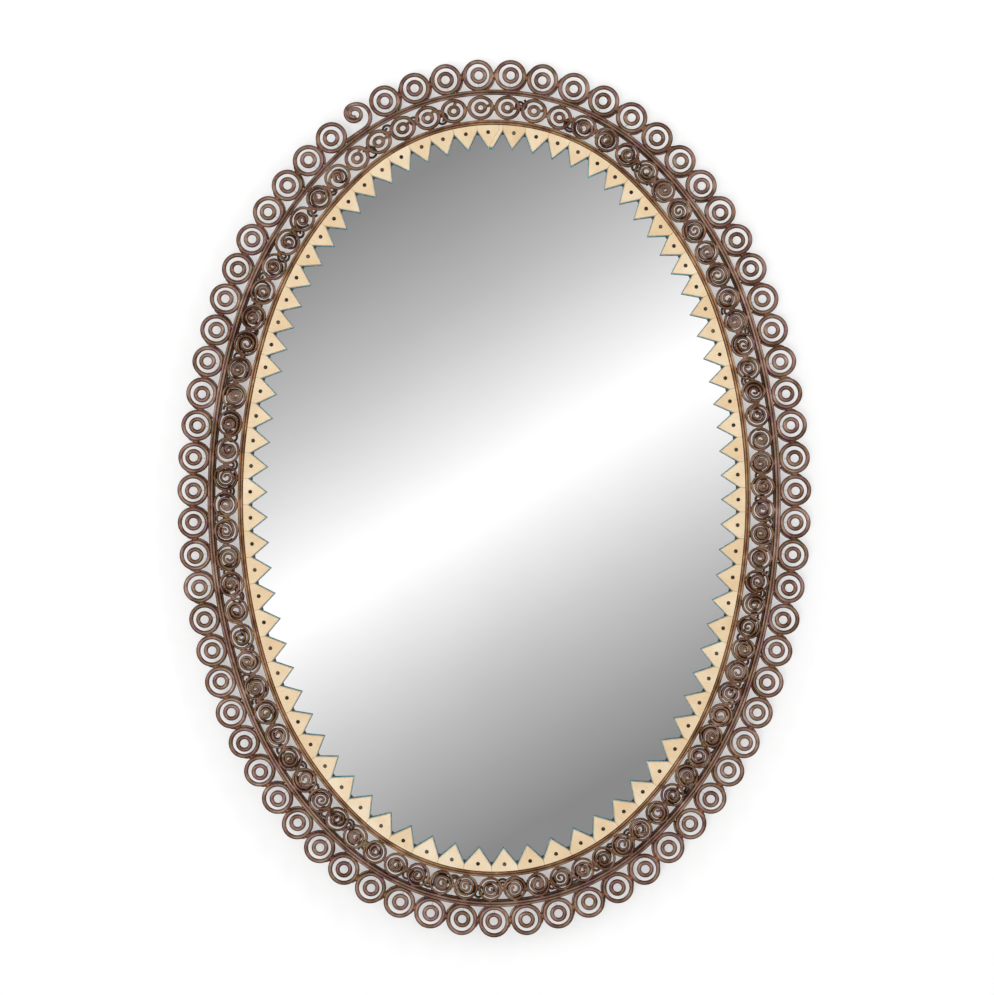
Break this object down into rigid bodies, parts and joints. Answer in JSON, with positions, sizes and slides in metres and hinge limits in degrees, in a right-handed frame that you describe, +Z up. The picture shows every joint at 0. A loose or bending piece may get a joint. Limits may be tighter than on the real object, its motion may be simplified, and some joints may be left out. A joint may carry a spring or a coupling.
{
  "type": "framed mirror",
  "caption": "Oval wall mirror with pointed bone teeth round the glass and a frame of wire scrolls and ringed wire circles, on a board with swinging hanger rings.",
  "frame": {"origin": "centre of the oval, on the wall plane that the bumpers touch", "axes": "+Y into the wall, so the mirror faces -Y; +Z up; +X to the right for a viewer"},
  "size_m": [0.6606, 0.0268, 0.9143],
  "materials": {
    "mirror": "silvered float glass",
    "bone": "polished bone",
    "wire": "brown patinated wire",
    "rim": "dark patina",
    "rail": "dark stained",
    "board": "bare plywood",
    "pin": "dark iron",
    "steel": "zinc plated",
    "bumper": "matt"
  },
  "bodies": {
    "frame": {"mirror_glass": "mirror", "backing_board": "board", "tooth_rail": "rail", "rim_band": "rim", "closing_tooth": "bone", "tooth_pins": "pin", "rim_screws": "steel", "rail_brads": "steel", "hanger_screws": "steel", "end_scroll": "wire", "scrolls_top": "wire", "scrolls_upper_right": "wire", "scrolls_lower_right": "wire", "scrolls_bottom": "wire", "scrolls_lower_left": "wire", "scrolls_upper_left": "wire", "rings_top": "wire", "rings_upper_right": "wire", "rings_lower_right": "wire", "rings_bottom": "wire", "rings_lower_left": "wire", "rings_upper_left": "wire", "ring_eyes_top": "wire", "ring_eyes_upper_right": "wire", "ring_eyes_lower_right": "wire", "ring_eyes_bottom": "wire", "ring_eyes_lower_left": "wire", "ring_eyes_upper_left": "wire", "eye_stays_top": "wire", "eye_stays_upper_right": "wire", "eye_stays_lower_right": "wire", "eye_stays_bottom": "wire", "eye_stays_lower_left": "wire", "eye_stays_upper_left": "wire", "ring_links_top": "wire", "ring_links_upper_right": "wire", "ring_links_lower_right": "wire", "ring_links_bottom": "wire", "ring_links_lower_left": "wire", "ring_links_upper_left": "wire", "bone_teeth_top": "bone", "bone_teeth_upper_right": "bone", "bone_teeth_lower_right": "bone", "bone_teeth_bottom": "bone", "bone_teeth_lower_left": "bone", "bone_teeth_upper_left": "bone", "inner_hoop_first_wire": "wire", "inner_hoop_second_wire": "wire", "outer_hoop_first_wire": "wire", "outer_hoop_second_wire": "wire", "left_hanger_strap": "steel", "right_hanger_strap": "steel", "bumper_upper_right": "bumper", "bumper_upper_left": "bumper", "bumper_lower_right": "bumper", "bumper_lower_left": "bumper"},
    "left_ring": {"left_hanger_ring": "steel"},
    "right_ring": {"right_hanger_ring": "steel"}
  },
  "joints": [
    {"name": "left_ring_swing", "type": "hinge", "parent": "frame", "child": "left_ring", "pos_m": [-0.15, -0.00322, 0.17], "axis": [0, 0, 1], "range_deg": [0, 160]},
    {"name": "right_ring_swing", "type": "hinge", "parent": "frame", "child": "right_ring", "pos_m": [0.15, -0.00322, 0.17], "axis": [0, 0, -1], "range_deg": [0, 160]}
  ]
}
